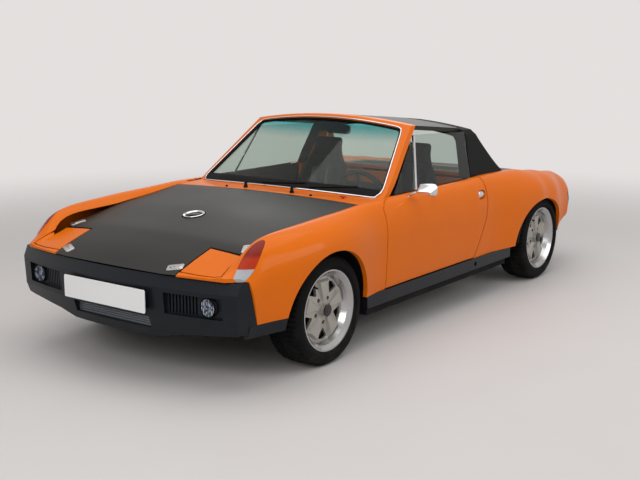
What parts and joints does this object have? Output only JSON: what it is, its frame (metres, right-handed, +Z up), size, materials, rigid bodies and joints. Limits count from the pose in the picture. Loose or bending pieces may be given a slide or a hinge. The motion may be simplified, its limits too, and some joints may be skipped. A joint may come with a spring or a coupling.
{
  "type": "mid-engine sports car",
  "caption": "Two-seat mid-engine sports car with a lift-off roof panel, roll hoop with sail panels, pop-up headlights, hinged lids and doors, and steered front wheels.",
  "frame": {"origin": "on the floor under the middle of the car's bounding box", "axes": "+Z up, the nose points to -Y, the car's left (driver's) side is +X"},
  "size_m": [1.7746, 4.0122, 1.1869],
  "materials": {
    "orange_paint": "gloss",
    "black_paint": "satin",
    "black_vinyl": "grained",
    "black_moulding": "matt",
    "underbody_steel": "satin",
    "glass": "clear",
    "bright_trim": "polished",
    "lamp_lens": "gloss",
    "lamp_glass": "clear",
    "plate_white": "satin",
    "cooler_alloy": "satin",
    "wheel_alloy": "satin",
    "tyre_rubber": "matt",
    "running_gear": "satin",
    "engine_castings": "rough",
    "exhaust_steel": "satin",
    "seat_cloth": "woven",
    "wheel_rim_leather": "grained"
  },
  "bodies": {
    "body": {"cowl": "orange_paint", "dashboard": "black_moulding", "deck_strips": "orange_paint", "engine": "engine_castings", "exhaust": "exhaust_steel", "floor_pan": "underbody_steel", "fog_lamps": "lamp_glass", "front_bumper": "black_moulding", "front_fender_left": "orange_paint", "front_fender_right": "orange_paint", "front_plate": "plate_white", "front_tub": "underbody_steel", "front_valances": "black_moulding", "fuel_filler": "bright_trim", "lower_arms": "running_gear", "oil_cooler": "cooler_alloy", "rear_axle": "running_gear", "rear_bumper": "black_moulding", "rear_quarter_left": "orange_paint", "rear_quarter_right": "orange_paint", "rear_tub": "underbody_steel", "rear_valance": "black_moulding", "rear_window": "glass", "roll_hoop": "black_vinyl", "roof_panel": "black_paint", "seats": "seat_cloth", "sill_covers": "black_moulding", "tail_lamps": "lamp_lens", "tail_panel": "orange_paint", "turn_signals": "lamp_lens", "wheelhouses": "black_moulding", "windscreen": "glass", "windscreen_frame": "orange_paint", "wipers": "bright_trim"},
    "door_left": {"door_left": "orange_paint", "door_glass_left": "glass", "glass_divider_left": "bright_trim", "mirror": "bright_trim"},
    "door_right": {"door_right": "orange_paint", "door_glass_right": "glass", "glass_divider_right": "bright_trim"},
    "hood": {"hood": "black_paint"},
    "trunk_lid": {"trunk_lid": "black_paint"},
    "engine_lid": {"engine_lid": "black_paint"},
    "headlight_left": {"headlight_left": "orange_paint"},
    "headlight_right": {"headlight_right": "orange_paint"},
    "knuckle_left": {"knuckle_left": "running_gear"},
    "knuckle_right": {"knuckle_right": "running_gear"},
    "front_wheel_left": {"wheel_front_left": "wheel_alloy", "tyre_front_left": "tyre_rubber"},
    "front_wheel_right": {"wheel_front_right": "wheel_alloy", "tyre_front_right": "tyre_rubber"},
    "rear_wheel_left": {"wheel_rear_left": "wheel_alloy", "tyre_rear_left": "tyre_rubber"},
    "rear_wheel_right": {"wheel_rear_right": "wheel_alloy", "tyre_rear_right": "tyre_rubber"},
    "steering_wheel": {"steering_wheel": "wheel_rim_leather"}
  },
  "joints": [
    {"name": "hood_hinge", "type": "hinge", "parent": "body", "child": "hood", "pos_m": [0, -0.803, 0.785], "axis": [-1, 0, 0], "range_deg": [0, 60]},
    {"name": "trunk_hinge", "type": "hinge", "parent": "body", "child": "trunk_lid", "pos_m": [0, 1.015, 0.772], "axis": [1, 0, 0], "range_deg": [0, 60]},
    {"name": "engine_lid_hinge", "type": "hinge", "parent": "body", "child": "engine_lid", "pos_m": [0, 0.662, 0.788], "axis": [1, 0, 0], "range_deg": [0, 60]},
    {"name": "headlight_left_hinge", "type": "hinge", "parent": "body", "child": "headlight_left", "pos_m": [0.552, -1.702, 0.656], "axis": [-1, 0, 0], "range_deg": [0, 45]},
    {"name": "headlight_right_hinge", "type": "hinge", "parent": "body", "child": "headlight_right", "pos_m": [-0.552, -1.702, 0.656], "axis": [-1, 0, 0], "range_deg": [0, 45]},
    {"name": "door_left_hinge", "type": "hinge", "parent": "body", "child": "door_left", "pos_m": [0.806, -0.7, 0.5], "axis": [0, 0, -1], "range_deg": [0, 65]},
    {"name": "door_right_hinge", "type": "hinge", "parent": "body", "child": "door_right", "pos_m": [-0.806, -0.7, 0.5], "axis": [0, 0, 1], "range_deg": [0, 65]},
    {"name": "steering_left", "type": "hinge", "parent": "body", "child": "knuckle_left", "pos_m": [0.64, -1.225, 0.178], "axis": [-0.281, 0, 0.9597], "range_deg": [-30, 30]},
    {"name": "steering_right", "type": "hinge", "parent": "body", "child": "knuckle_right", "pos_m": [-0.64, -1.225, 0.178], "axis": [0.281, 0, 0.9597], "range_deg": [-30, 30]},
    {"name": "steering_wheel_turn", "type": "hinge", "parent": "body", "child": "steering_wheel", "pos_m": [0.35, -0.265, 0.705], "axis": [0, 0.9272, 0.3746], "range_deg": [-512, 512]},
    {"name": "front_left_wheel_spin", "type": "hinge", "parent": "knuckle_left", "child": "front_wheel_left", "pos_m": [0.72, -1.225, 0.288], "axis": [1, 0, 0], "continuous": true},
    {"name": "front_right_wheel_spin", "type": "hinge", "parent": "knuckle_right", "child": "front_wheel_right", "pos_m": [-0.72, -1.225, 0.288], "axis": [1, 0, 0], "continuous": true},
    {"name": "rear_left_wheel_spin", "type": "hinge", "parent": "body", "child": "rear_wheel_left", "pos_m": [0.74, 1.225, 0.288], "axis": [1, 0, 0], "continuous": true},
    {"name": "rear_right_wheel_spin", "type": "hinge", "parent": "body", "child": "rear_wheel_right", "pos_m": [-0.74, 1.225, 0.288], "axis": [1, 0, 0], "continuous": true}
  ],
  "couplings": [
    {"joint": "steering_right", "follows": "steering_left", "ratio": 1},
    {"joint": "steering_wheel_turn", "follows": "steering_left", "ratio": 16}
  ]
}
